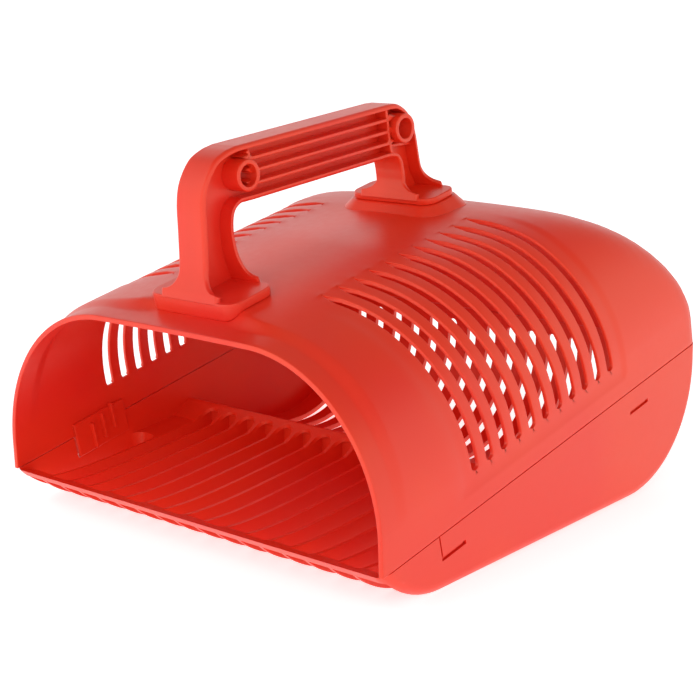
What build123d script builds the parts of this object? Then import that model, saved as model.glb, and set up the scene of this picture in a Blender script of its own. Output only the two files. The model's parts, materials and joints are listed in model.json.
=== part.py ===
"""Moulded sand scoop: a slotted hood clipped to a bladed tray, with a bridge handle on the roof.

Frame: X across the mouth, -Y out of the mouth, +Z up, flat bottom on Z = 0, symmetric about X = 0.
The joint line between hood and tray climbs towards the rear, and the hood follows that slope.
"""
import os
from math import asin, atan, cos, degrees, sin, sqrt, tan

from build123d import *

os.makedirs("parts", exist_ok=True)

# ---------------------------------------------------------------- driving dimensions (mm)
WIDTH = 230.0                     # over the side walls
HALF = WIDTH / 2
WALL = 2.4                        # moulded wall
LIP_Z = 17.3                      # height of the lip edge, where the joint line starts
SLOPE = atan(0.2)                 # climb of the joint line
JOINT_GAP = 0.15                  # half of the visible gap between hood and tray
C, S, T = cos(SLOPE), sin(SLOPE), tan(SLOPE)

# hood
COLLAR_TOP, COLLAR_CROWN, COLLAR_CORNER = 83.8, 3000.0, 70.0
MAIN_TOP, MAIN_CROWN, MAIN_CORNER = 88.6, 340.0, 67.0
COLLAR_FLAT, COLLAR_END = 9.0, 15.5          # flat collar band, then a sloped step up
HOOD_LENGTH, REAR_RADIUS = 240.0, 76.0       # along the slope
REAR_FILLET = 5.0                 # rear corners of hood and tray
SLOT_COUNT, SLOT_PITCH, SLOT_FIRST, SLOT_WIDTH = 11, 10.2, 64.3, 4.6
SLOT_LOW, SLOT_HIGH, SLOT_INNER = 17.0, 96.0, 43.0
PANEL_START, PANEL_END, PANEL_INNER, PANEL_LOW, PANEL_DEPTH = 54.0, 177.0, 37.0, 9.0, 0.4
PLINTH_DROP = 12.0

# tray
TRAY_FLAT_START, TRAY_FLAT_END, TRAY_REAR = 38.0, 180.0, 236.0
TRAY_REAR_RADIUS = TRAY_REAR - TRAY_FLAT_END
BLADE_COUNT, BLADE_PITCH, BLADE_THICK = 16, 12.96, 2.0
GAP_START, GAP_END, SIDE_GAP_END = 9.0, 109.5, 76.0
SHEET, SCALLOP = 2.0, 1.4          # crest sheet; dip of the lip between blades
CREST_Y, CREST_Z = 113.5, 27.4
LIP_THICK = 2.7
REAR_SLOT_WIDTH, REAR_SLOT_TOP, REAR_SLOT_START = 5.6, 57.0, 122.0
FLOOR_CUT_DEPTH = 8.0

# snaps
SNAP_DEPTH, SNAP_LENGTH, SNAP_SLOT = 10.2, 15.4, 1.8
SNAP_FRONT, SNAP_REAR = 43.4, 185.6

TONGUE_GAP, TONGUE_THICK, TONGUE_DROP, TONGUE_FRONT, TONGUE_REAR = 0.2, 1.8, 14.0, 32.0, 24.0
HOOK_REACH, RIB_PITCH, RIB_RISE, RIB_DEPTH = 1.6, 6.6, 2.5, 2.4

# handle
HANDLE_WIDTH, WEB, BAND = 17.0, 3.0, 2.3
GRIP_SLOPE = 0.085
BOSS_OD, BOSS_BORE, BOSS_LENGTH = 14.0, 9.4, 22.0
BOSSES = ((40.4, 161.0), (144.5, 170.6))
FEET = ((43.5, 27.0, 53.0), (175.4, 21.4, 50.5))      # centre along slope, depth, width
FOOT_THICK = 3.2
GROOVE_DROPS, GROOVE_HEIGHT = (4.2, 9.7, 15.2, 20.7), 3.8
HOOK_LENGTH = 9.5
HOOK_X, HOOK_SIZE = 17.0, (8.0, 3.0)

SIDE = Plane(origin=(0, 0, LIP_Z), x_dir=(0, C, S), z_dir=(1, 0, 0))     # (along slope, off slope)
ALONG = (0, C, S)


def arch(half, top, crown, corner, base=0.0):
    """Outline of the arched cross-section: upright sides, corner arcs and a crowned roof."""
    inset = half - corner
    crown_z = top - crown
    corner_z = crown_z + sqrt((crown - corner) ** 2 - inset ** 2)
    k = crown / (crown - corner)
    tx, tz = k * inset, crown_z + k * (corner_z - crown_z)
    mid = (asin(inset / (crown - corner)) + asin(1)) / 2
    mx, mz = inset + corner * sin(mid), corner_z + corner * cos(mid)
    with BuildLine(Plane.XY) as outline:
        Line((-half, base), (-half, corner_z))
        ThreePointArc((-half, corner_z), (-mx, mz), (-tx, tz))
        ThreePointArc((-tx, tz), (0, top), (tx, tz))
        ThreePointArc((tx, tz), (mx, mz), (half, corner_z))
        Line((half, corner_z), (half, base))
        Line((half, base), (-half, base))
    return outline.edges()


def upright(y):
    """Plane facing the mouth at depth y, with its origin on the joint line."""
    return Plane(origin=(0, y, LIP_Z + y * T), x_dir=(1, 0, 0), z_dir=(0, -1, 0))


def side_profile(length, radius, roof, low, front=-30.0):
    """Outline of the hood from the side: square start, rounded rear, roof left open above."""
    d = radius * (1 - sqrt(0.5))
    with BuildLine(Plane.XY) as outline:
        Line((front, low), (length, low))
        Line((length, low), (length, roof - radius))
        ThreePointArc((length, roof - radius), (length - d, roof - d), (length - radius, roof))
        Line((length - radius, roof), (front, roof + 20))
        Line((front, roof + 20), (front, low))
    return outline.edges()


ROOF = MAIN_TOP * C


def roof_plane(along, height):
    """Plane parallel to the roof of the hood, centred on X, at a distance along the slope."""
    return Plane(origin=SIDE.from_local_coords((along, height, 0)), x_dir=(1, 0, 0), z_dir=(0, -S, C))


# ---------------------------------------------------------------- hood
with BuildPart() as hood_core:
    with BuildSketch(upright(13.0)):
        make_face(arch(HALF - WALL, MAIN_TOP - WALL, MAIN_CROWN, MAIN_CORNER - WALL, base=-20))
    extrude(amount=260, dir=ALONG)
    with BuildSketch(SIDE):
        make_face(side_profile(HOOD_LENGTH - WALL, REAR_RADIUS - WALL, ROOF - WALL, -20))
    extrude(amount=HALF, both=True, mode=Mode.INTERSECT)
    with BuildSketch(upright(-8.0)):
        make_face(arch(HALF - WALL, COLLAR_TOP - WALL, COLLAR_CROWN, COLLAR_CORNER - WALL, base=-20))
    extrude(amount=30, dir=ALONG)

with BuildPart() as hood_block:
    with BuildSketch(upright(COLLAR_END)):
        make_face(arch(HALF, MAIN_TOP, MAIN_CROWN, MAIN_CORNER, base=JOINT_GAP))
    extrude(amount=260, dir=ALONG)
    with BuildSketch(SIDE):
        make_face(side_profile(HOOD_LENGTH, REAR_RADIUS, ROOF, JOINT_GAP * C))
    extrude(amount=HALF + 5, both=True, mode=Mode.INTERSECT)
    corner = hood_block.edges().filter_by(lambda e: abs(e.center().X) > 80 and e.center().Y > 190)
    fillet(corner, REAR_FILLET)

with BuildPart() as panel:
    with BuildSketch(upright(0.0)):
        Rectangle(WIDTH + 20, 240)
        make_face(arch(HALF - PANEL_DEPTH, MAIN_TOP - PANEL_DEPTH, MAIN_CROWN, MAIN_CORNER - PANEL_DEPTH,
                       base=-130), mode=Mode.SUBTRACT)
        Rectangle(2 * PANEL_INNER, 300, mode=Mode.SUBTRACT)
    extrude(amount=260, dir=ALONG)
    with BuildSketch(SIDE):
        with Locations(((PANEL_START + PANEL_END) / 2, PANEL_LOW + 75)):
            RectangleRounded(PANEL_END - PANEL_START, 150, 4)
    extrude(amount=HALF + 12, both=True, mode=Mode.INTERSECT)

with BuildPart() as hood_outer:
    add(hood_block.part)
    # collar band at the mouth and the sloped step behind it
    with BuildSketch(upright(0.0)):
        make_face(arch(HALF, COLLAR_TOP, COLLAR_CROWN, COLLAR_CORNER, base=JOINT_GAP))
    extrude(amount=(COLLAR_END + 8) / C, dir=ALONG)
    with BuildSketch(upright(COLLAR_FLAT)):
        make_face(arch(HALF, COLLAR_TOP, COLLAR_CROWN, COLLAR_CORNER, base=JOINT_GAP))
    with BuildSketch(upright(COLLAR_END)):
        make_face(arch(HALF, MAIN_TOP, MAIN_CROWN, MAIN_CORNER, base=JOINT_GAP))
    loft()
    # plinth under the rear foot of the handle
    with BuildSketch(roof_plane(FEET[1][0], ROOF)):
        RectangleRounded(FEET[1][2] + 2, FEET[1][1] + 2, 9)
    with BuildSketch(roof_plane(FEET[1][0], ROOF - PLINTH_DROP)):
        RectangleRounded(FEET[1][2] + 14, FEET[1][1] + 14, 13)
    loft()

with BuildPart() as hood:
    add(hood_outer.part)
    add(panel.part, mode=Mode.SUBTRACT)
    add(hood_core.part, mode=Mode.SUBTRACT)
    # sieve slots over both shoulders
    for side in (1, -1):
        with BuildSketch(SIDE.offset(side * SLOT_INNER)):
            with Locations(*[(SLOT_FIRST + k * SLOT_PITCH, (SLOT_LOW + SLOT_HIGH) / 2)
                             for k in range(SLOT_COUNT)]):
                RectangleRounded(SLOT_WIDTH, SLOT_HIGH - SLOT_LOW, SLOT_WIDTH / 2 - 0.1)
        extrude(amount=side * HALF, mode=Mode.SUBTRACT)
    # snap tongues inside the tray walls, ribbed, with a hook that enters the tray window
    for side in (1, -1):
        for centre, length in ((SNAP_FRONT, TONGUE_FRONT), (SNAP_REAR, TONGUE_REAR)):
            with BuildSketch(SIDE.offset(side * (HALF - WALL - TONGUE_GAP))):
                with Locations((centre + (length - SNAP_LENGTH) / 2, -TONGUE_DROP / 2 + 4)):
                    RectangleRounded(length, TONGUE_DROP + 8, 1.2)
            extrude(amount=-side * TONGUE_THICK)
            with BuildSketch(SIDE.offset(side * (HALF - WALL))):
                with Locations((centre + (length - SNAP_LENGTH) / 2, 4)):
                    Rectangle(length, 7)
            extrude(amount=-side * TONGUE_THICK)
            with BuildSketch(SIDE.offset(side * (HALF - WALL - TONGUE_GAP))):
                with Locations((centre, -SNAP_DEPTH)):
                    Rectangle(SNAP_LENGTH - 1.0, SNAP_SLOT - 0.6)
            extrude(amount=side * (TONGUE_GAP + HOOK_REACH))
            rib_line = HALF - WALL - TONGUE_GAP - TONGUE_THICK
            with BuildSketch(SIDE.offset(side * (rib_line + 0.1))):
                with Locations(*[(centre + 2 + RIB_PITCH * k, -3 + RIB_RISE * k)
                                 for k in range(int(length / RIB_PITCH / 1.4))]):
                    Rectangle(1.2, TONGUE_DROP + 2)
            extrude(amount=-side * RIB_DEPTH)
    # windows for the hooks under the handle feet
    for centre, _, _ in FEET:
        with BuildSketch(roof_plane(centre, ROOF + 5)):
            with Locations((HOOK_X, 0), (-HOOK_X, 0)):
                Rectangle(HOOK_SIZE[0] + 0.6, HOOK_SIZE[1] + 0.6)
        extrude(amount=-24, mode=Mode.SUBTRACT)
hood.part.label = "hood"

# ---------------------------------------------------------------- tray
lip_slope = (LIP_Z - 14.8) / 10.0
gap_width = BLADE_PITCH - BLADE_THICK
cells = [((k - BLADE_COUNT / 2) * BLADE_PITCH, gap_width, GAP_END) for k in range(1, BLADE_COUNT)]
last_blade = (BLADE_COUNT - 1) / 2 * BLADE_PITCH + BLADE_THICK / 2
side_width = HALF - WALL - last_blade
cells = [(-last_blade - side_width / 2, side_width, SIDE_GAP_END), *cells,
         (last_blade + side_width / 2, side_width, SIDE_GAP_END)]

with BuildPart() as tray:
    with BuildSketch(Plane.YZ):
        prow = (TRAY_FLAT_START ** 2 + LIP_Z ** 2) / (2 * LIP_Z)
        angle = asin(TRAY_FLAT_START / prow) / 2
        rear_d = TRAY_REAR_RADIUS * (1 - sqrt(0.5))
        with BuildLine():
            ThreePointArc((0, LIP_Z), (TRAY_FLAT_START - prow * sin(angle), prow * (1 - cos(angle))),
                          (TRAY_FLAT_START, 0))
            Line((TRAY_FLAT_START, 0), (TRAY_FLAT_END, 0))
            ThreePointArc((TRAY_FLAT_END, 0), (TRAY_REAR - rear_d, rear_d),
                          (TRAY_REAR, TRAY_REAR_RADIUS))
            Line((TRAY_REAR, TRAY_REAR_RADIUS), (TRAY_REAR, LIP_Z + TRAY_REAR * T - JOINT_GAP))
            Line((TRAY_REAR, LIP_Z + TRAY_REAR * T - JOINT_GAP), (0, LIP_Z))
        make_face()
    extrude(amount=HALF, both=True)
    rear_edges = tray.edges().filter_by(lambda e: abs(e.center().X) > 110 and e.center().Y > 190)
    fillet(rear_edges, REAR_FILLET)
    # everything above the bladed ramp and inside the basket
    with BuildSketch(Plane.YZ):
        inner = TRAY_REAR_RADIUS - WALL
        inner_d = inner * (1 - sqrt(0.5))
        with BuildLine():
            Line((-5, LIP_Z + 5 * lip_slope), (10, 14.8))
            Spline((10, 14.8), (24, 14.3), (50, 15.6), (76, 17.8), (100, 20.2))
            Spline((100, 20.2), (106, 23.4), (CREST_Y - 3, CREST_Z - 0.8))
            ThreePointArc((CREST_Y - 3, CREST_Z - 0.8), (CREST_Y - 0.8, CREST_Z - 0.4),
                          (CREST_Y, CREST_Z - 2.2))
            Line((CREST_Y, CREST_Z - 2.2), (CREST_Y, WALL))
            Line((CREST_Y, WALL), (TRAY_FLAT_END, WALL))
            ThreePointArc((TRAY_FLAT_END, WALL), (TRAY_REAR - WALL - inner_d, WALL + inner_d),
                          (TRAY_REAR - WALL, TRAY_REAR_RADIUS))
            Line((TRAY_REAR - WALL, TRAY_REAR_RADIUS), (TRAY_REAR - WALL, 90))
            Line((TRAY_REAR - WALL, 90), (-5, 90))
            Line((-5, 90), (-5, LIP_Z + 5 * lip_slope))
        make_face()
    extrude(amount=HALF - WALL, both=True, mode=Mode.SUBTRACT)
    # gaps between the blades, rounded at the rear
    with BuildSketch():
        for k, (x, width, end) in enumerate(cells):
            start = GAP_START - (2.5 if k % 2 else 0)
            with Locations((x, (start + end - gap_width / 2) / 2)):
                Rectangle(width, end - start - gap_width / 2)
            with Locations((x, end - gap_width / 2)):
                RectangleRounded(width, gap_width, gap_width / 2 - 0.1)
    extrude(amount=CREST_Z + 5, mode=Mode.SUBTRACT)
    # hollow under the lip between the blades
    for x, width, _ in cells:
        with BuildSketch(Plane.YZ.offset(x - width / 2)):
            Polygon((-2, LIP_Z - LIP_THICK + 2 * lip_slope), (GAP_START + 0.5, 14.8 - LIP_THICK + 0.1),
                    (GAP_START + 0.5, -2), (-2, -2), align=None)
        extrude(amount=width, mode=Mode.SUBTRACT)
    # hollow under the crest, and the lip dips between the blades
    for x, width, end in cells:
        if end == GAP_END:
            with BuildSketch(Plane.YZ.offset(x - width / 2)):
                Polygon((98, 20 - SHEET), (106, 23.2 - SHEET), (CREST_Y - 3.5, CREST_Z - 0.8 - SHEET),
                        (CREST_Y - SHEET, CREST_Z - 2.5 - SHEET), (CREST_Y - SHEET, -2), (98, -2), align=None)
            extrude(amount=width, mode=Mode.SUBTRACT)
            with BuildSketch(Plane.XZ.offset(1)):
                with Locations((x, LIP_Z + lip_slope)):
                    Ellipse(width / 2, SCALLOP)
            extrude(amount=-9, dir=(0, 1, -lip_slope), mode=Mode.SUBTRACT)
    # sieve slots in the basket floor and up the rear wall
    posts = [(k - (BLADE_COUNT - 1) / 2) * BLADE_PITCH for k in range(BLADE_COUNT)]
    with BuildSketch():
        with Locations(*[(x, (REAR_SLOT_START + TRAY_FLAT_END + 8) / 2) for x in posts]):
            RectangleRounded(REAR_SLOT_WIDTH, TRAY_FLAT_END + 8 - REAR_SLOT_START, 2.7)
    extrude(amount=FLOOR_CUT_DEPTH, mode=Mode.SUBTRACT)
    with BuildSketch(Plane.XZ.offset(-TRAY_FLAT_END - 4)):
        with Locations(*[(x, REAR_SLOT_TOP / 2 - 10) for x in posts]):
            RectangleRounded(REAR_SLOT_WIDTH, REAR_SLOT_TOP + 20, 2.7)
    extrude(amount=-70, mode=Mode.SUBTRACT)
    # snap windows; the front pair also has a slit up to the joint line
    for side in (1, -1):
        with BuildSketch(SIDE.offset(side * (HALF - WALL - 1))):
            with Locations((SNAP_FRONT, -SNAP_DEPTH), (SNAP_REAR, -SNAP_DEPTH)):
                Rectangle(SNAP_LENGTH, SNAP_SLOT)
            with Locations((SNAP_FRONT - SNAP_LENGTH / 2, -SNAP_DEPTH / 2)):
                Rectangle(0.8, SNAP_DEPTH + SNAP_SLOT)
        extrude(amount=side * 8, mode=Mode.SUBTRACT)
tray.part.label = "tray"

# ---------------------------------------------------------------- handle
grip_half = HANDLE_WIDTH / 2
recess = (HANDLE_WIDTH - WEB) / 2


def top_z(y):
    """Height of the upper face of the grip at depth y."""
    return 177.4 + GRIP_SLOPE * (y - 80)


def grip_line(y, drop):
    """Point of the grip at depth y, a given distance below the upper face."""
    return (y, top_z(y) - drop)


with BuildPart() as handle:
    with BuildSketch(Plane.YZ) as contour:
        with BuildLine():
            Polyline((12.0, 100), (12.0, 112.4), (13.2, 116.0), (15, 122.0), (15, 150.5))
            ThreePointArc((15, 150.5), (20.6, 166.2), (36.5, 173.7))
            Line((36.5, 173.7), grip_line(138, 0))
            ThreePointArc(grip_line(138, 0), (149.5, 178.6), (156, 168))
            Polyline((156, 168), (159.6, 151.0), (162.3, 145.5), (164.8, 142.5), (164.8, 100), (12.0, 100))
        make_face()
        fillet(contour.vertices().filter_by(lambda v: 150 < v.Y < 168 and v.X > 100), 7)
        with BuildLine():
            Polyline((38.2, 100), (38.2, 116.6), (36.6, 121.0), (33.8, 129.0), (33.0, 140), (34.0, 150.6),
                     grip_line(140.5, 24.6), (144.0, 148), (144.0, 100), (38.2, 100))
        make_face(mode=Mode.SUBTRACT)
        fillet(contour.vertices().filter_by(lambda v: abs(v.X - 34.0) < 0.1 and abs(v.Y - 150.6) < 0.1), 8)
        fillet(contour.vertices().filter_by(lambda v: abs(v.X - 140.5) < 0.1 and v.Y > 150), 4)
    extrude(amount=grip_half, both=True)
    # feet, flat under the rear one and following the crown of the roof under the front one
    for (centre, depth, width), low in zip(FEET, (4.0, 0.0)):
        with BuildSketch(roof_plane(centre, ROOF - low)):
            RectangleRounded(width, depth, 8)
        extrude(amount=FOOT_THICK + low)
    add(hood_outer.part, mode=Mode.SUBTRACT)
    # pockets either side of the central web: front leg, rear boss cell, rear leg and grooved grip
    for side in (1, -1):
        with BuildSketch(Plane.YZ.offset(side * WEB / 2)):
            with BuildLine():
                Polyline((14.4, 112.6), (15.5, 116.6), (17.3, 122.4), (17.3, 150.5))
                ThreePointArc((17.3, 150.5), (22.4, 164.4), (36.8, 171.4))
                Polyline((36.8, 171.4), (43.4, 172.0), (43.8, 154.4), (38.0, 154.2))
                ThreePointArc((38.0, 154.2), (32.6, 151.8), (30.7, 146.0))
                Polyline((30.7, 146.0), (30.7, 140.0), (31.6, 128.6), (34.4, 120.6), (35.8, 116.9),
                         (14.4, 112.6))
            make_face()
            with BuildLine():
                Line((137.4, 162.2), grip_line(137.4, BAND))
                ThreePointArc(grip_line(137.4, BAND), (147.9, 176.9), (153.8, 167.3))
                Polyline((153.8, 167.3), (154.9, 162.2), (137.4, 162.2))
            make_face()
            with BuildLine():
                Polyline((141.4, 160.4), (155.3, 160.4), (157.3, 151.0), (160.0, 144.4), (161.0, 141.9),
                         (146.4, 138.9), (146.4, 150.0))
                ThreePointArc((146.4, 150.0), (145.0, 157.0), (141.4, 160.4))
            make_face()
            with Locations(*[grip_line(90, drop) for drop in GROOVE_DROPS]):
                SlotOverall(91, GROOVE_HEIGHT, rotation=degrees(atan(GRIP_SLOPE)))
        extrude(amount=side * recess, mode=Mode.SUBTRACT)
    # hollow cross bosses
    with BuildSketch(Plane.YZ):
        with Locations(*BOSSES):
            Circle(BOSS_OD / 2)
    extrude(amount=BOSS_LENGTH / 2, both=True)
    with BuildSketch(Plane.YZ):
        with Locations(*BOSSES):
            Circle(BOSS_BORE / 2)
    extrude(amount=BOSS_LENGTH, both=True, mode=Mode.SUBTRACT)
    # hooks that snap through the roof
    for centre, _, _ in FEET:
        with BuildSketch(roof_plane(centre, ROOF - HOOK_LENGTH)):
            with Locations((HOOK_X, 0), (-HOOK_X, 0)):
                Rectangle(*HOOK_SIZE)
        extrude(amount=HOOK_LENGTH + 1)
        with BuildSketch(roof_plane(centre, ROOF - HOOK_LENGTH)):
            with Locations((HOOK_X + 0.2, 0), (-HOOK_X - 0.2, 0)):
                Rectangle(HOOK_SIZE[0] + 1.6, HOOK_SIZE[1])
        extrude(amount=1.6)
handle.part.label = "handle"

# ---------------------------------------------------------------- out: origin under the middle
to_frame = Location((0, -TRAY_REAR / 2, 0))
export_step(hood.part.moved(to_frame), "parts/hood.step")
export_step(tray.part.moved(to_frame), "parts/tray.step")
export_step(handle.part.moved(to_frame), "parts/handle.step")
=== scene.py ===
"""Looks of a moulded sand scoop: slotted hood, bladed tray and bridge handle, in a soft studio.

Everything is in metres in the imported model's own frame: +X across the mouth, -Y out of it, +Z up.
"""

import json
import logging
import math
from dataclasses import dataclass, field
from enum import Enum
from itertools import product

import bmesh
import bpy
import numpy as np
from mathutils import Matrix, Vector

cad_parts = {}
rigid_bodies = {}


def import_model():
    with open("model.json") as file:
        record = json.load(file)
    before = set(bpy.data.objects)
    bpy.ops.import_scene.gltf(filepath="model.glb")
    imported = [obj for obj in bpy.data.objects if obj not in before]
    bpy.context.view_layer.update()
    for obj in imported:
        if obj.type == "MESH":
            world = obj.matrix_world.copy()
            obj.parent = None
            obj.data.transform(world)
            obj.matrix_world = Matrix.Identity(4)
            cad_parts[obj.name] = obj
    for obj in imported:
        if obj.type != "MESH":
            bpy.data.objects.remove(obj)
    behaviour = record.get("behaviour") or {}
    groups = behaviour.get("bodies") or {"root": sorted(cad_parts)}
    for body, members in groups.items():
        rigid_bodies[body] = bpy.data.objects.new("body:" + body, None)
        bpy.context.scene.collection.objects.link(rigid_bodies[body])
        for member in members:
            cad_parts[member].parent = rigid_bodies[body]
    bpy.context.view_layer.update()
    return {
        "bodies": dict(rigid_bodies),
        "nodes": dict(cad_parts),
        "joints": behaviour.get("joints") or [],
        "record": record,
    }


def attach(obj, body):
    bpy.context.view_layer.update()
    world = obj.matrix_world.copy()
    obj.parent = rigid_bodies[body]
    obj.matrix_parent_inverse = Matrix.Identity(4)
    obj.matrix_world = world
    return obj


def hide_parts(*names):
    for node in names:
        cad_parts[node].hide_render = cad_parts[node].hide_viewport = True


LOG = logging.getLogger("sand_scoop")
ROOT = "root"


class Side(Enum):
    """Sides of the scoop, as the sign of X."""

    RIGHT = 1
    LEFT = -1


class Wire:
    """A node's output socket that takes part in Python expressions."""

    def __init__(self, shader: "Shader", socket: bpy.types.NodeSocket) -> None:
        """Keeps the socket and the shader it belongs to.

        Args:
            shader: The shader being built.
            socket: The output socket.
        """
        self.shader = shader
        self.socket = socket

    def _math(self, operation: str, *values: "Wire | float") -> "Wire":
        """Adds one Math node.

        Args:
            operation: What the node does.
            *values: Its inputs, in order.

        Returns:
            Its value.
        """
        return self.shader.node("ShaderNodeMath", {"operation": operation}, dict(enumerate(values)))

    def __add__(self, other: "Wire | float") -> "Wire":
        """Sum of two values."""
        return self._math("ADD", self, other)

    def __sub__(self, other: "Wire | float") -> "Wire":
        """Difference of two values."""
        return self._math("SUBTRACT", self, other)

    def __mul__(self, other: "Wire | float") -> "Wire":
        """Product of two values."""
        return self._math("MULTIPLY", self, other)

    def __rsub__(self, other: float) -> "Wire":
        """A number minus this value."""
        return self._math("SUBTRACT", other, self)

    __radd__ = __add__
    __rmul__ = __mul__

    def step(self, low: float, high: float) -> "Wire":
        """Smooth step of this value.

        Args:
            low: Where the step starts, at 0.
            high: Where it ends, at 1.

        Returns:
            The stepped value.
        """
        settings = {"interpolation_type": "SMOOTHSTEP"}
        return self.shader.node("ShaderNodeMapRange", settings, {"Value": self, 1: low, 2: high})


class Shader:
    """One material's node tree, with a Principled shader as its end."""

    def __init__(self, name: str) -> None:
        """Starts an empty material.

        Args:
            name: The material's name.
        """
        self.material = bpy.data.materials.new(name)
        self.material.use_nodes = True
        self.tree = self.material.node_tree
        self.surface = self.tree.nodes["Principled BSDF"]

    def node(self, kind: str, settings: dict, values: dict, output: int | str = 0) -> Wire:
        """Adds a node.

        Args:
            kind: The node's type.
            settings: Its properties, set before anything else.
            values: A number, colour or Wire for each named or numbered input.
            output: Which output to return.

        Returns:
            The output, as a Wire.
        """
        node = self.tree.nodes.new(kind)
        for key, value in settings.items():
            setattr(node, key, value)
        for key, value in values.items():
            self.feed(node.inputs[key], value)
        return Wire(self, node.outputs[output])

    def feed(self, socket: bpy.types.NodeSocket, value: "Wire | float | tuple") -> None:
        """Links a Wire to an input, or sets the input's own value.

        Args:
            socket: The input.
            value: What goes into it.
        """
        if isinstance(value, Wire):
            self.tree.links.new(value.socket, socket)
        elif isinstance(value, tuple) and len(value) == 3 and len(socket.default_value) == 4:
            socket.default_value = (*value, 1.0)
        else:
            socket.default_value = value

    def mix(self, share: "Wire | float", low: "Wire | tuple", high: "Wire | tuple") -> Wire:
        """Mixes two colours.

        Args:
            share: How much of the second colour.
            low: The first colour.
            high: The second colour.

        Returns:
            The mixed colour.
        """
        settings = {"data_type": "RGBA", "blend_type": "MIX"}
        return self.node("ShaderNodeMix", settings, {0: share, 6: low, 7: high}, output=2)

    def place(self) -> Wire:
        """The surface point in metres."""
        return self.node("ShaderNodeTexCoord", {}, {}, output="Object")

    def noise(self, place: Wire, scale: float, detail: float = 3.0) -> Wire:
        """A noise value around one half.

        Args:
            place: The point it is read at.
            scale: Waves per metre.
            detail: Octaves.

        Returns:
            The noise.
        """
        values = {"Vector": place, "Scale": scale, "Detail": detail}
        return self.node("ShaderNodeTexNoise", {"noise_dimensions": "3D"}, values)

    def finish(self, **sockets: "Wire | float | tuple") -> bpy.types.Material:
        """Fills in the Principled shader.

        Args:
            **sockets: Its inputs, with underscores for spaces.

        Returns:
            The finished material.
        """
        for key, value in sockets.items():
            self.feed(self.surface.inputs[key.replace("_", " ")], value)
        return self.material


@dataclass(frozen=True)
class MouldedPlastic:
    """Satin moulded polypropylene: even colour with slow drifts, spark-eroded grain and gloss patches."""

    name: str
    colour: tuple = (0.82, 0.034, 0.010)
    drift: tuple = (0.80, 0.022, 0.013)
    roughness: float = 0.37
    grain: float = 0.00002
    scatter: float = 0.12

    def material(self) -> bpy.types.Material:
        """Builds the material."""
        shader = Shader(self.name)
        place = shader.place()
        slow = shader.noise(place, 14.0, 2.0)
        fine = shader.noise(place, 1900.0, 4.0)
        mottle = shader.noise(place, 260.0, 3.0)
        colour = shader.mix(slow.step(0.35, 0.7), self.colour, self.drift)
        gloss = self.roughness + (slow - 0.5) * 0.06 + (mottle - 0.5) * 0.1
        height = fine * 0.7 + mottle * 0.3
        bump = shader.node("ShaderNodeBump", {}, {"Strength": 0.35, "Distance": self.grain, "Height": height})
        return shader.finish(
            Base_Color=colour, Roughness=gloss, Normal=bump, Subsurface_Weight=self.scatter,
            Subsurface_Radius=(1.0, 0.25, 0.12), Subsurface_Scale=0.002, IOR=1.62,
            Specular_Tint=(1.0, 0.86, 0.62))


@dataclass
class Camera:
    """The view: a long lens a little above the roof, in front and to the right of the mouth."""

    place: Vector = field(default_factory=lambda: Vector((0.4920, -0.5541, 0.2519)))
    right: Vector = field(default_factory=lambda: Vector((0.7493, 0.6616, -0.0283)))
    up: Vector = field(default_factory=lambda: Vector((-0.1391, 0.1990, 0.9701)))
    back: Vector = field(default_factory=lambda: Vector((0.6475, -0.7229, 0.2412)))
    lens_mm: float = 82.60
    sensor_mm: float = 36.0

    def build(self) -> bpy.types.Object:
        """Makes the camera and sets it as the scene's."""
        data = bpy.data.cameras.new("camera")
        data.sensor_width = self.sensor_mm
        data.lens = self.lens_mm
        data.clip_start, data.clip_end = 0.01, 100.0
        camera = bpy.data.objects.new("camera", data)
        turn = Matrix((self.right, self.up, self.back)).transposed().to_4x4()
        camera.matrix_world = Matrix.Translation(self.place) @ turn
        bpy.context.collection.objects.link(camera)
        bpy.context.scene.camera = camera
        return camera


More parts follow.
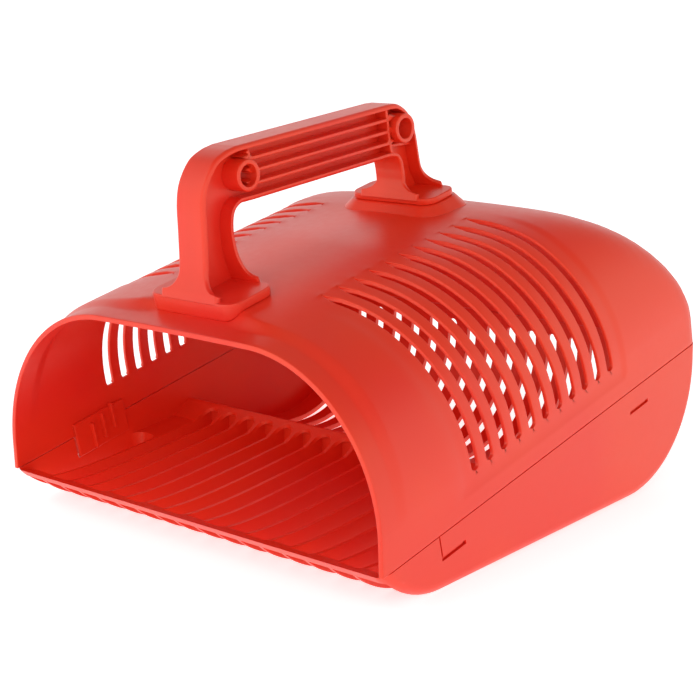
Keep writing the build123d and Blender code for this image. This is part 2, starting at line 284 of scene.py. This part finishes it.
@dataclass
class Studio:
    """A pale floor in a white cove, bright along the horizon, with soft lamps behind the viewer."""

    floor_size: float = 60.0
    floor_glow: float = 0.62
    horizon: float = 1.15
    zenith: float = 0.22
    horizon_top: float = 0.34
    horizon_fade: float = 0.80
    floor_drop: float = 0.0002

    def build(self) -> None:
        """Makes the floor, the lamps and the world."""
        bpy.context.scene.view_settings.view_transform = "Standard"
        self._floor()
        self._world()
        self._lamp("key", Vector((-0.5, -1.5, 1.5)), 1.2, 8.0)
        self._lamp("fill", Vector((1.5, -1.1, 0.9)), 1.0, 3.0)

    def _floor(self) -> None:
        """Makes the floor."""
        mesh = bpy.data.meshes.new("floor")
        half = self.floor_size / 2
        corners = [(-half, -half, 0), (half, -half, 0), (half, half, 0), (-half, half, 0)]
        mesh.from_pydata([(x, y, z - self.floor_drop) for x, y, z in corners], [], [(0, 1, 2, 3)])
        floor = bpy.data.objects.new("floor", mesh)
        bpy.context.collection.objects.link(floor)
        shader = Shader("pale_floor")
        speckle = shader.noise(shader.place(), 40.0, 2.0)
        mesh.materials.append(shader.finish(
            Base_Color=shader.mix(speckle, (0.90, 0.90, 0.90), (0.93, 0.93, 0.93)), Roughness=0.9,
            Emission_Color=(1.0, 1.0, 1.0), Emission_Strength=self.floor_glow))

    def _world(self) -> None:
        """Makes the surroundings: white at the horizon, dim overhead."""
        world = bpy.data.worlds.new("studio")
        world.use_nodes = True
        tree = world.node_tree
        place = tree.nodes.new("ShaderNodeTexCoord")
        split = tree.nodes.new("ShaderNodeSeparateXYZ")
        ramp = tree.nodes.new("ShaderNodeMapRange")
        ramp.interpolation_type = "SMOOTHSTEP"
        tree.links.new(place.outputs["Generated"], split.inputs[0])
        tree.links.new(split.outputs["Z"], ramp.inputs["Value"])
        for socket, value in zip(ramp.inputs[1:5], (
                self.horizon_top, self.horizon_fade, self.horizon, self.zenith)):
            socket.default_value = value
        background = tree.nodes["Background"]
        background.inputs["Color"].default_value = (1.0, 1.0, 1.0, 1.0)
        tree.links.new(ramp.outputs[0], background.inputs["Strength"])
        bpy.context.scene.world = world

    @staticmethod
    def _lamp(name: str, place: Vector, size: float, power: float) -> None:
        """Makes a soft lamp that faces the scoop.

        Args:
            name: The lamp's name.
            place: Where it hangs.
            size: The side of its square.
            power: Watts.
        """
        data = bpy.data.lights.new(name, "AREA")
        data.shape, data.size, data.energy = "SQUARE", size, power
        lamp = bpy.data.objects.new(name, data)
        lamp.location = place
        lamp.rotation_euler = (Vector((0, 0, 0.08)) - place).to_track_quat("-Z", "Y").to_euler()
        bpy.context.collection.objects.link(lamp)


MM = 0.001
LIP_TO_ORIGIN = 118.0
LIP_HEIGHT = 17.3
SLOPE = math.atan(0.2)
COS, SIN = math.cos(SLOPE), math.sin(SLOPE)
WELD = 4e-6                  # points this close, in metres, become one
SLIVER = 1e-6                # edges this short, in metres, go
CORNER_POINTS = 9            # on a rounded corner


def smooth(value: np.ndarray, low: float, high: float) -> np.ndarray:
    """Smooth step from 0 at low to 1 at high.

    Args:
        value: What is stepped.
        low: Start of the step.
        high: End of the step.

    Returns:
        The stepped values.
    """
    share = np.clip((np.asarray(value, float) - low) / (high - low), 0.0, 1.0)
    return share * share * (3 - 2 * share)


def from_slope(points: np.ndarray) -> np.ndarray:
    """Turns places on the slope of the joint line into upright ones, in millimetres from the lip.

    Args:
        points: Places across, along and off the slope.

    Returns:
        The same places as x, y and z.
    """
    x, t, h = np.moveaxis(np.asarray(points, float), -1, 0)
    return np.stack([x, t * COS - h * SIN, LIP_HEIGHT + t * SIN + h * COS], -1)


def spline(points: tuple, per_span: int) -> np.ndarray:
    """Smooth line through points.

    Args:
        points: The points it passes.
        per_span: Steps between neighbours.

    Returns:
        The line's points.
    """
    knots = np.asarray(points, float)
    ends = [2 * knots[0] - knots[1], *knots, 2 * knots[-1] - knots[-2]]
    line = []
    for a, b, c, d in zip(ends, ends[1:], ends[2:], ends[3:]):
        for u in np.arange(per_span) / per_span:
            line.append(0.5 * (2 * b + (c - a) * u + (2 * a - 5 * b + 4 * c - d) * u ** 2
                               + (3 * b - a - 3 * c + d) * u ** 3))
    return np.array([*line, knots[-1]])


def rounded(width: float, depth: float, corner: float) -> np.ndarray:
    """Outline of a rounded rectangle around the origin.

    Args:
        width: Its size across.
        depth: Its size along.
        corner: Radius of its corners.

    Returns:
        Its points, as across and along.
    """
    points = []
    for turn, (sx, sy) in zip((0, 90, 180, 270), ((1, 1), (-1, 1), (-1, -1), (1, -1))):
        for a in np.radians(np.linspace(turn, turn + 90, CORNER_POINTS)):
            points.append((sx * (width / 2 - corner) + corner * math.cos(a),
                           sy * (depth / 2 - corner) + corner * math.sin(a)))
    return np.array(points)


class Mesh:
    """Closed solids gathered into one piece, in millimetres from the middle of the lip."""

    def __init__(self, name: str) -> None:
        """Starts an empty piece.

        Args:
            name: The piece's name.
        """
        self.name = name
        self.points: list = []
        self.faces: list = []

    def add(self, points: np.ndarray, faces: list) -> None:
        """Adds a solid.

        Args:
            points: Its points.
            faces: Its faces, as point numbers.
        """
        start = len(self.points)
        self.points.extend(np.asarray(points, float).reshape(-1, 3).tolist())
        self.faces.extend([start + i for i in face] for face in faces)

    def loft(self, rings: np.ndarray, closed: bool = False) -> None:
        """Adds a skin over rings of equal counts, with its ends capped unless it closes on itself.

        Args:
            rings: Points, as ring by point by coordinate.
            closed: Whether the last ring joins the first.
        """
        count, size = len(rings), len(rings[0])
        faces = []
        for i in range(count if closed else count - 1):
            low, high = i * size, (i + 1) % count * size
            steps = [(j, (j + 1) % size) for j in range(size)]
            faces += [(low + j, low + k, high + k, high + j) for j, k in steps]
        if not closed:
            faces += [tuple(range(size))[::-1], tuple((count - 1) * size + j for j in range(size))]
        self.add(np.asarray(rings), faces)

    def shell(self, outer: np.ndarray, inner: np.ndarray, kept: np.ndarray) -> None:
        """Adds a wall between two grids, open where cells aren't kept.

        Args:
            outer: Outer points, row by column by coordinate.
            inner: Inner points, alike.
            kept: Which cells are solid.
        """
        rows, columns = outer.shape[:2]
        inside = rows * columns
        faces = []

        def index(i: int, j: int) -> int:
            """Number of the outer point at row i, column j."""
            return i * columns + j

        for i, j in zip(*np.nonzero(kept)):
            corners = [index(i, j), index(i + 1, j), index(i + 1, j + 1), index(i, j + 1)]
            faces.append(corners)
            faces.append([c + inside for c in corners[::-1]])
            sides = ((i, j - 1, 0), (i + 1, j, 1), (i, j + 1, 2), (i - 1, j, 3))
            for ni, nj, side in sides:
                if 0 <= ni < rows - 1 and 0 <= nj < columns - 1 and kept[ni, nj]:
                    continue
                a, b = corners[side], corners[(side + 1) % 4]
                faces.append([b, a, a + inside, b + inside])
        self.add(np.concatenate([outer.reshape(-1, 3), inner.reshape(-1, 3)]), faces)

    def build(self, finish: bpy.types.Material, edge: float, angle: float = 40.0) -> bpy.types.Object:
        """Makes the object, with softened edges.

        Args:
            finish: Its material.
            edge: Radius of its edges, in millimetres.
            angle: Edges sharper than this many degrees are softened.

        Returns:
            The object, riding on the root body.
        """
        mesh = bpy.data.meshes.new(self.name)
        points = (np.array(self.points) - (0, LIP_TO_ORIGIN, 0)) * MM
        mesh.from_pydata(points.tolist(), [], self.faces)
        work = bmesh.new()
        work.from_mesh(mesh)
        bmesh.ops.remove_doubles(work, verts=work.verts, dist=WELD)
        bmesh.ops.dissolve_degenerate(work, dist=SLIVER, edges=work.edges)
        loose = [v for v in work.verts if not v.link_faces]
        bmesh.ops.delete(work, geom=loose, context="VERTS")
        bmesh.ops.recalc_face_normals(work, faces=work.faces)
        for face in work.faces:
            face.smooth = True
        work.to_mesh(mesh)
        work.free()
        mesh.materials.append(finish)
        piece = bpy.data.objects.new(self.name, mesh)
        bpy.context.collection.objects.link(piece)
        if edge:
            bevel = piece.modifiers.new("edges", "BEVEL")
            bevel.width, bevel.segments, bevel.use_clamp_overlap = edge * MM, 2, False
            bevel.limit_method, bevel.angle_limit = "ANGLE", math.radians(angle)
        normals = piece.modifiers.new("normals", "WEIGHTED_NORMAL")
        normals.keep_sharp = True
        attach(piece, ROOT)
        LOG.info("%s: %d points, %d faces", self.name, len(mesh.vertices), len(mesh.polygons))
        return piece


@dataclass
class Section:
    """Arched cross-section: upright walls, corner arcs and a crowned roof, heights off the joint line."""

    half: float
    top: float
    crown: float
    corner: float

    def distance(self, x: np.ndarray, z: np.ndarray) -> np.ndarray:
        """Distance outside the outline, negative inside.

        Args:
            x: Places across the scoop.
            z: Heights above the joint line.

        Returns:
            The distances.
        """
        x = np.abs(x)
        inset = self.half - self.corner
        crown_z = self.top - self.crown
        corner_z = crown_z + math.sqrt((self.crown - self.corner) ** 2 - inset ** 2)
        on_roof = x * (corner_z - crown_z) < inset * (z - crown_z)
        roof = np.hypot(x, z - crown_z) - self.crown
        corner = np.hypot(x - inset, z - corner_z) - self.corner
        return np.where(z < corner_z, x - self.half, np.where(on_roof, roof, corner))


@dataclass
class Hood:
    """Slotted hood: collar at the mouth, crowned roof with sieve slots over both shoulders, domed rear."""

    collar: Section = field(default_factory=lambda: Section(115.0, 83.8, 3000.0, 70.0))
    body: Section = field(default_factory=lambda: Section(115.0, 88.6, 340.0, 67.0))
    wall: float = 2.4
    gap: float = 0.15
    length: float = 240.0
    rear_radius: float = 76.0
    groin: tuple = (5.0, 13.0)
    step: tuple = (8.8, 15.6)
    step_bulge: float = 4.0
    slot_count: int = 11
    slot_first: float = 64.3
    slot_pitch: float = 10.2
    slot_width: float = 4.6
    slot_low: float = 16.0
    slot_inner: float = 45.0
    taper: float = 5.0
    panel: tuple = (54.0, 177.0)
    panel_depth: float = 0.45
    tip_bump: float = 0.5
    panel_fade: tuple = (44.0, 60.0)
    fan_start: float = 180.0
    edge: float = 0.45
    plinth: tuple = (175.4, (50.5, 21.4, 6.5))
    plinth_flare: tuple = ((6.2, 0.0), (5.6, 0.12), (2.0, 0.8), (1.2, 0.96), (0.6, 1.0))
    tongues: tuple = ((43.4, 32.0), (185.6, 24.0))
    tongue_thick: float = 1.8
    tongue_clear: float = 0.2
    tongue_span: tuple = (-10.0, 7.0)
    hook_half: float = 7.7
    hook_reach: float = 1.7
    rib_pitch: float = 6.6
    rib_rise: float = 2.5
    rib_width: float = 1.2

    def depth(self, x: np.ndarray, t: np.ndarray, h: np.ndarray) -> np.ndarray:
        """Signed distance outside the hood's outer skin.

        Args:
            x: Places across.
            t: Places along the slope of the joint line.
            h: Heights off that slope.

        Returns:
            The distances.
        """
        y, z = t * COS - h * SIN, h / COS
        start = self.step[0] + self.step_bulge * (1 - smooth(np.abs(x), 22.0, 36.0))
        share = smooth(y - start, 0.0, self.step[1] - self.step[0])
        arch = (1 - share) * self.collar.distance(x, z) + share * self.body.distance(x, z)
        bend = self.length - self.rear_radius
        up = h - (self.body.top * COS - self.rear_radius)
        along = t - bend
        arc = np.hypot(np.maximum(along, 0.0), np.maximum(up, 0.0)) - self.rear_radius
        end = np.where(up < 0, along - self.rear_radius, arc)
        side = np.where(along < 0, up - self.rear_radius - 0.004 * along ** 2, end)
        groin = self.groin[0] + (self.groin[1] - self.groin[0]) * smooth(h, 10.0, 55.0)
        blend = np.maximum(groin - np.abs(arch - side), 0.0)
        return np.maximum(arch, side) + blend ** 2 / (4 * groin)

    def _cast(self, start: np.ndarray, way: np.ndarray, level: np.ndarray | float) -> np.ndarray:
        """Where lines from the middle of the base cross the skin.

        Args:
            start: Starts of the lines.
            way: Their directions.
            level: How far outside the skin the crossing lies.

        Returns:
            The crossings.
        """
        low = np.full(way.shape[:-1], 2.0)
        high = np.full(way.shape[:-1], 190.0)
        for _ in range(40):
            middle = (low + high) / 2
            points = start + way * middle[..., None]
            outside = self.depth(*np.moveaxis(points, -1, 0)) > level
            high, low = np.where(outside, middle, high), np.where(outside, low, middle)
        return start + way * middle[..., None]

    def roof(self, x: np.ndarray, t: np.ndarray) -> np.ndarray:
        """Height of the roof off the slope.

        Args:
            x: Places across.
            t: Places along the slope.

        Returns:
            The heights.
        """
        start = np.stack([x, t, np.full_like(x, 20.0)], -1)
        way = np.broadcast_to(np.array([0.0, 0.0, 1.0]), start.shape)
        return self._cast(start, way, 0.0)[..., 2]

    def _plinth(self, mesh: Mesh, centre: float, size: tuple) -> None:
        """Adds the flared plinth under the rear flange of the handle.

        Args:
            mesh: Where it goes.
            centre: Its middle along the slope.
            size: Width, depth and corner radius at its top.
        """
        top = self.body.top * COS - 0.05
        rings = []
        for spread, share in self.plinth_flare:
            outline = rounded(size[0] + 2 * spread, size[1] + 2 * spread, size[2] + spread)
            roof = self.roof(outline[:, 0], outline[:, 1] + centre) - 0.3
            height = roof * (1 - share) + top * share
            rings.append(np.column_stack([outline + (0, centre), height]))
        mesh.loft(from_slope(np.array(rings)))

    def _box(self, mesh: Mesh, x: tuple, t: tuple, h: tuple) -> None:
        """Adds a box.

        Args:
            mesh: Where it goes.
            x: Its two ends across.
            t: Its two ends along the slope.
            h: Its two ends off the slope.
        """
        outline = np.array([(x[0], h[0]), (x[1], h[0]), (x[1], h[1]), (x[0], h[1])])
        rings = [np.column_stack([outline[:, 0], np.full(4, along), outline[:, 1]]) for along in t]
        mesh.loft(from_slope(np.array(rings)))

    def _tongues(self, mesh: Mesh) -> None:
        """Adds the ribbed snap tongues that reach down inside the tray walls, with their hooks.

        Args:
            mesh: Where they go.
        """
        face = self.body.half - self.wall - self.tongue_clear
        for side, (centre, length) in product(Side, self.tongues):
            sign = side.value
            start = centre - self.hook_half
            span = (start, start + length)
            back = face - self.tongue_thick
            self._box(mesh, (sign * face, sign * back), span, self.tongue_span)
            self._box(mesh, (sign * (face - 1.0), sign * (face + 0.3)), span, (1.0, 6.6))
            self._box(mesh, (sign * (face - 0.5), sign * (face + self.hook_reach)),
                      (start + 0.5, start + 2 * self.hook_half - 0.5), (-10.8, -9.6))
            for k in range(int(length / (1.4 * self.rib_pitch))):
                along = centre + 1.4 + self.rib_pitch * k
                low = self.rib_rise * k
                self._box(mesh, (sign * (face - 1.6), sign * (face - 4.2)), (along, along + self.rib_width),
                          (low - 9.0, low + 4.0))

    def _slots(self) -> list[float]:
        """Centres of the slots along the slope."""
        return [self.slot_first + k * self.slot_pitch for k in range(self.slot_count)]

    def _rows(self) -> list[tuple]:
        """Rows from the rim to the rear: distance along, lean of the row, turn of the row."""
        collar = (0, 2, 5, 7.5, 8.8, 9.6, 10.8, 12.2, 13.6, 14.8, 15.6, 16.6, 18, 20)
        rows = [(y, 0.0, 0.0) for y in collar]
        rows += [(t, (t - 20) / 33, 0.0) for t in (26, 33, 40, 47)]
        flat = [53.4, 54.6, 58.5]
        half = self.slot_width / 2
        for centre in self._slots():
            flat += [centre - half, centre, centre + half, centre + self.slot_pitch / 2]
        flat += [174.0, 176.4, 177.6]
        rows += [(t, 1.0, 0.0) for t in flat]
        turns = [*range(0, 20, 3), *np.arange(20, 42, 1.3), *range(44, 90, 4), 90]
        return rows + [(self.fan_start, 1.0, float(turn)) for turn in turns]

    def _angles(self) -> tuple[np.ndarray, float, float]:
        """Columns from one base edge over the roof to the other, in degrees, and a slot's two ends."""
        low = math.degrees(math.atan2(self.slot_low, self.body.half))
        high = math.degrees(math.atan2(self.body.top * COS - 3.2, self.slot_inner))
        half = [0, 1.5, 3.2, 4.2, 4.8, 6.4, low, low + 0.3, low + 0.7, low + 1.15]
        half += list(np.linspace(low + 2.2, high - self.taper - 1, 22))
        half += [high - self.taper * share for share in (1, 0.8, 0.6, 0.4, 0.2, 0.0)]
        half += [high + 0.5, high + 1.3, high + 2.6, *np.linspace(high + 5, 90, 9)]
        return np.array([*half, *(180 - a for a in half[-2::-1])]), low, high

    def _grid(self) -> tuple[np.ndarray, np.ndarray, np.ndarray]:
        """Outer points, inner points and kept cells."""
        rows = np.array(self._rows())
        angles, low, high = self._angles()
        from_base = np.minimum(angles, 180 - angles)
        along = np.repeat(rows[:, :1], len(angles), axis=1)
        half = self.slot_width / 2
        rise = np.radians(from_base - low) * self.body.half / half
        foot = np.sqrt(np.clip(1 - (1 - np.clip(rise, 0, 1)) ** 2, 0, 1))
        tip = np.clip((high - from_base) / self.taper, 0, 1) ** 0.8
        width = np.where((from_base < low) | (from_base > high), 1.0, np.maximum(np.minimum(foot, tip), 0.06))
        bump = np.exp(-((from_base - high - 0.5) / 1.0) ** 2)
        level = np.zeros_like(along)
        for centre in self._slots():
            across = along - centre
            edge = np.abs(across) < half + 0.01
            level += np.where(edge, self.tip_bump * bump * np.exp(-(across / 1.5) ** 2), 0)
            along = np.where(edge, centre + across * width, along)
        turn = np.radians(rows[:, 2:])
        lean = rows[:, 1:2]
        rise = np.stack([np.zeros_like(lean), (1 - lean) * SIN, lean + (1 - lean) * COS], -1)
        rise /= np.linalg.norm(rise, axis=-1, keepdims=True)
        flat = np.radians(angles)[None, :, None]
        way = np.cos(flat) * np.array([1.0, 0, 0]) + np.sin(flat) * rise
        way = np.cos(turn)[..., None] * way + np.sin(turn)[..., None] * np.array([0, 1.0, 0])
        upright = (along / COS) + (self.gap * SIN)
        base = np.stack([np.zeros_like(along), lean * along + (1 - lean) * upright,
                         np.full_like(along, self.gap)], -1)
        panel = smooth(along, *(self.panel[0] + s for s in (-0.5, 0.5)))
        panel *= 1 - smooth(along, *(self.panel[1] + s for s in (-0.5, 0.5)))
        panel *= smooth(from_base, 4.2, 4.8) * (1 - smooth(from_base, *self.panel_fade)) * (rows[:, 2:] == 0)
        outer = self._cast(base, way, level - self.panel_depth * panel)
        inner = self._cast(base, way, np.full_like(along, -self.wall))
        inner[:5] = self._rim(inner[:5], outer[:5])
        kept = np.ones((len(rows) - 1, len(angles) - 1), bool)
        middle = (from_base[1:] + from_base[:-1]) / 2
        opened = (middle > low) & (middle < high)
        for centre in self._slots():
            for place in (centre - half, centre):
                kept[np.argmin(np.abs(rows[:, 0] - place) + 1e3 * (rows[:, 2] > 0)), opened] = False
        return outer, inner, kept

    @staticmethod
    def _rim(inner: np.ndarray, outer: np.ndarray) -> np.ndarray:
        """Keeps the first inner rows in the planes of the outer ones.

        Args:
            inner: Inner points of those rows.
            outer: Outer points, alike.

        Returns:
            The inner points, moved along the slope.
        """
        inner = inner.copy()
        y = outer[..., 1] * COS - outer[..., 2] * SIN
        inner[..., 1] = (y + inner[..., 2] * SIN) / COS
        return inner

    def build(self, finish: bpy.types.Material) -> None:
        """Builds the hood's pieces.

        Args:
            finish: Their material.
        """
        skin = Mesh("hood_shell")
        outer, inner, kept = self._grid()
        skin.shell(from_slope(outer), from_slope(inner), kept)
        plinth = Mesh("hood_plinth")
        self._plinth(plinth, *self.plinth)
        tongues = Mesh("hood_tongues")
        self._tongues(tongues)
        for mesh, edge, angle in ((skin, self.edge, 50.0), (plinth, 0.0, 40.0), (tongues, 0.3, 40.0)):
            piece = mesh.build(finish, edge, angle)
            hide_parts("hood")


@dataclass
class Handle:
    """Bridge handle: I-section legs and grip with grooved sides, hollow cross bosses and two flanges."""

    half: float = 8.5
    band: float = 2.3
    web: float = 1.5
    outer_round: float = 1.9
    flare: float = 9.0
    grip_height: float = 24.6
    groove_drops: tuple = (6.95, 12.45, 17.95)
    rib: float = 1.7
    groove_round: float = 1.9
    bosses: tuple = ((40.4, 161.0), (144.5, 170.6))
    boss_radius: float = 7.0
    bore_radius: float = 4.7
    boss_half: float = 11.0
    feet: tuple = ((43.5, 27.0, 53.0, 7.0), (175.4, 21.4, 50.5, 6.5))
    foot_thick: float = 3.2
    foot_edge: float = 0.7

    @staticmethod
    def grip(y: float, drop: float) -> tuple[float, float]:
        """Point of the grip.

        Args:
            y: Its place from the lip.
            drop: How far it lies below the upper face.

        Returns:
            The point in the side view.
        """
        return (y, 177.4 + 0.085 * (y - 80) - drop)

    def _outer(self) -> np.ndarray:
        """Outer line of the side view, from the front flange over the grip to the rear flange."""
        front = spline(((11.9, 110.6), (12.2, 114.0), (13.6, 118.6), (14.8, 125.0), (15, 138), (15.1, 151.0),
                        (17.2, 160.0), (23.0, 168.2), (30.0, 172.0), (37.0, 173.75)), 8)
        rear = spline(((137.0, 182.25), (143.0, 181.9), (149.2, 178.6), (153.6, 173.2), (156.2, 166.5),
                       (158.4, 156.0), (160.2, 149.8), (162.6, 145.6), (164.5, 142.6), (165.0, 140.6)), 8)
        return np.concatenate([front, np.linspace(front[-1], rear[0], 60)[1:-1], rear])

    def _inner(self) -> np.ndarray:
        """Inner line of the side view, alike."""
        front = spline(((38.6, 114.6), (38.1, 117.6), (36.6, 121.6), (34.4, 128.0), (33.2, 136.0),
                        (33.2, 142.5), (34.6, 146.8), (37.8, 149.2), (41.0, 149.6),
                        self.grip(45.5, self.grip_height)), 8)
        rear = spline((self.grip(130.0, self.grip_height), self.grip(136.0, self.grip_height), (140.6, 157.0),
                       (142.6, 154.8), (143.7, 151.5), (144.2, 148.6), (144.6, 145.6), (144.4, 142.6),
                       (143.6, 139.6), (143.2, 136.8)), 8)
        return np.concatenate([front, np.linspace(front[-1], rear[0], 60)[1:-1], rear])

    def _strip(self, mesh: Mesh, line: np.ndarray, thick: np.ndarray | float, half: np.ndarray | float,
               rounds: tuple) -> None:
        """Sweeps a band with rounded edges along a line of the side view.

        Args:
            mesh: Where it goes.
            line: The band's upper or outer line; its body lies to the right of its travel.
            thick: Its thickness, or one for each point.
            half: Half its width, or one for each point.
            rounds: Radii of its outer and inner edges.
        """
        way = np.gradient(line, axis=0)
        way /= np.linalg.norm(way, axis=1, keepdims=True)
        inward = np.stack([way[:, 1], -way[:, 0]], -1)
        thick = np.broadcast_to(thick, len(line))
        half = np.broadcast_to(half, len(line))
        outer, inner = rounds
        turns = np.radians(np.linspace(90, 0, 6))
        rings = []
        for i, place in enumerate(line):
            corner = [(half[i] - outer + outer * math.cos(a), outer - outer * math.sin(a)) for a in turns]
            corner += [(half[i] - inner + inner * math.sin(a), thick[i] - inner + inner * math.cos(a))
                       for a in turns[::2]]
            ring = corner + [(-x, depth) for x, depth in corner[::-1]]
            rings.append([(x, *(place + inward[i] * depth)) for x, depth in ring])
        mesh.loft(np.array(rings))

    def _flared(self, line: np.ndarray) -> np.ndarray:
        """Half widths that grow into the flanges at both ends of a line.

        Args:
            line: The line, in the side view.

        Returns:
            One half width for each point.
        """
        steps = np.concatenate([[0], np.cumsum(np.linalg.norm(np.diff(line, axis=0), axis=1))])
        height = np.clip(np.minimum(steps, steps[-1] - steps) - 4.0, 0, self.flare)
        return self.half + self.flare - np.sqrt(self.flare ** 2 - (self.flare - height) ** 2)

    def _bands(self, mesh: Mesh) -> None:
        """Adds the outer and inner bands, the web and the ribs between the grooves.

        Args:
            mesh: Where they go.
        """
        outer, inner = self._outer(), self._inner()
        self._strip(mesh, outer, self.band, self._flared(outer), (self.outer_round, 0.3))
        self._strip(mesh, inner[::-1], self.band - 0.2, self._flared(inner), (1.2, 0.3))
        across = np.linspace(0.02, 0.98, 21)[None, :, None]
        flat = outer[:, None] * (1 - across) + inner[:, None] * across
        near = [np.hypot(*(flat - boss).transpose(2, 0, 1)) < self.bore_radius + 0.4 for boss in self.bosses]
        bored = near[0] | near[1]
        kept = ~(bored[1:, 1:] | bored[:-1, 1:] | bored[1:, :-1] | bored[:-1, :-1])
        sides = [np.concatenate([np.full((*flat.shape[:2], 1), x), flat], -1) for x in (self.web, -self.web)]
        mesh.shell(*sides, kept)
        steps = np.concatenate([np.linspace(0, 2, 9), np.linspace(4, 87.4, 20), np.linspace(89.4, 91.4, 9)])
        for k, drop in enumerate(self.groove_drops):
            start = 45.8 if k else 44.4
            end_gap = np.minimum(np.minimum(steps, steps[-1] - steps), self.groove_round)
            grow = self.groove_round - np.sqrt(self.groove_round ** 2 - (self.groove_round - end_gap) ** 2)
            run = start + steps * (136.0 - start) / steps[-1]
            thick = self.rib + 2 * grow
            line = np.array([self.grip(y, drop - t / 2) for y, t in zip(run, thick)])
            self._strip(mesh, line, thick, self.half - 0.5, (0.5, 0.5))
        front = spline(((43.4, 171.6), (44.6, 170.0), (44.8, 167.8), (44.0, 165.4)), 6)
        self._strip(mesh, front, 1.7, self.half - 0.4, (0.5, 0.5))
        rear = spline((self.grip(134.9, 0.8), self.grip(136.3, 8.0), self.grip(137.0, 14.0),
                       self.grip(138.0, 20.0), self.grip(139.4, 24.2)), 6)
        self._strip(mesh, rear, 1.7, self.half - 0.4, (0.5, 0.5))
        ledge = np.array([(137.4, 163.4), (156.4, 163.4)])
        self._strip(mesh, np.linspace(*ledge, 8), 1.7, self.half - 3.2, (0.5, 0.5))

    def _boss(self, mesh: Mesh, y: float, z: float) -> None:
        """Adds a hollow boss across the handle.

        Args:
            mesh: Where it goes.
            y: Its middle from the lip.
            z: Its height.
        """
        section = [(self.boss_half, self.bore_radius + 0.4), (self.boss_half, self.boss_radius - 0.5),
                   (self.boss_half - 0.5, self.boss_radius), (0.5 - self.boss_half, self.boss_radius),
                   (-self.boss_half, self.boss_radius - 0.5), (-self.boss_half, self.bore_radius + 0.4),
                   (0.4 - self.boss_half, self.bore_radius), (self.boss_half - 0.4, self.bore_radius)]
        turns = np.linspace(0, 2 * math.pi, 48, endpoint=False)
        rings = [[(x, y + r * math.cos(a), z + r * math.sin(a)) for x, r in section] for a in turns]
        mesh.loft(np.array(rings), closed=True)

    def build(self, finish: bpy.types.Material, hood: Hood) -> None:
        """Builds the handle's pieces.

        Args:
            finish: Their material.
            hood: The hood it stands on.
        """
        frame = Mesh("handle_frame")
        self._bands(frame)
        for y, z in self.bosses:
            self._boss(frame, y, z)
        pieces = [frame.build(finish, 0.0)]
        for name, (centre, depth, width, corner) in zip(("front", "rear"), self.feet):
            foot = Mesh(f"handle_foot_{name}")
            top = hood.body.top * COS
            outline = rounded(width, depth, corner)
            roof = hood.roof(outline[:, 0], outline[:, 1] + centre)
            low = np.minimum(roof + 0.05, top) if name == "front" else np.full(len(outline), top)
            high = np.full(len(outline), top + self.foot_thick)
            rings = [np.column_stack([outline + (0, centre), level]) for level in (low, high)]
            foot.loft(from_slope(np.array(rings)))
            pieces.append(foot.build(finish, self.foot_edge, 60.0))
        for piece in pieces:
            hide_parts("handle")


def main() -> None:
    """Builds everything in order."""
    logging.basicConfig(level=logging.INFO, format="%(message)s")
    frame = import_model()
    Camera().build()
    Studio().build()
    plastic = MouldedPlastic("shell_plastic").material()
    for node in frame["nodes"].values():
        node.data.materials[0] = plastic
    hood = Hood()
    hood.build(plastic)
    Handle().build(plastic, hood)


if __name__ == "__main__":
    main()
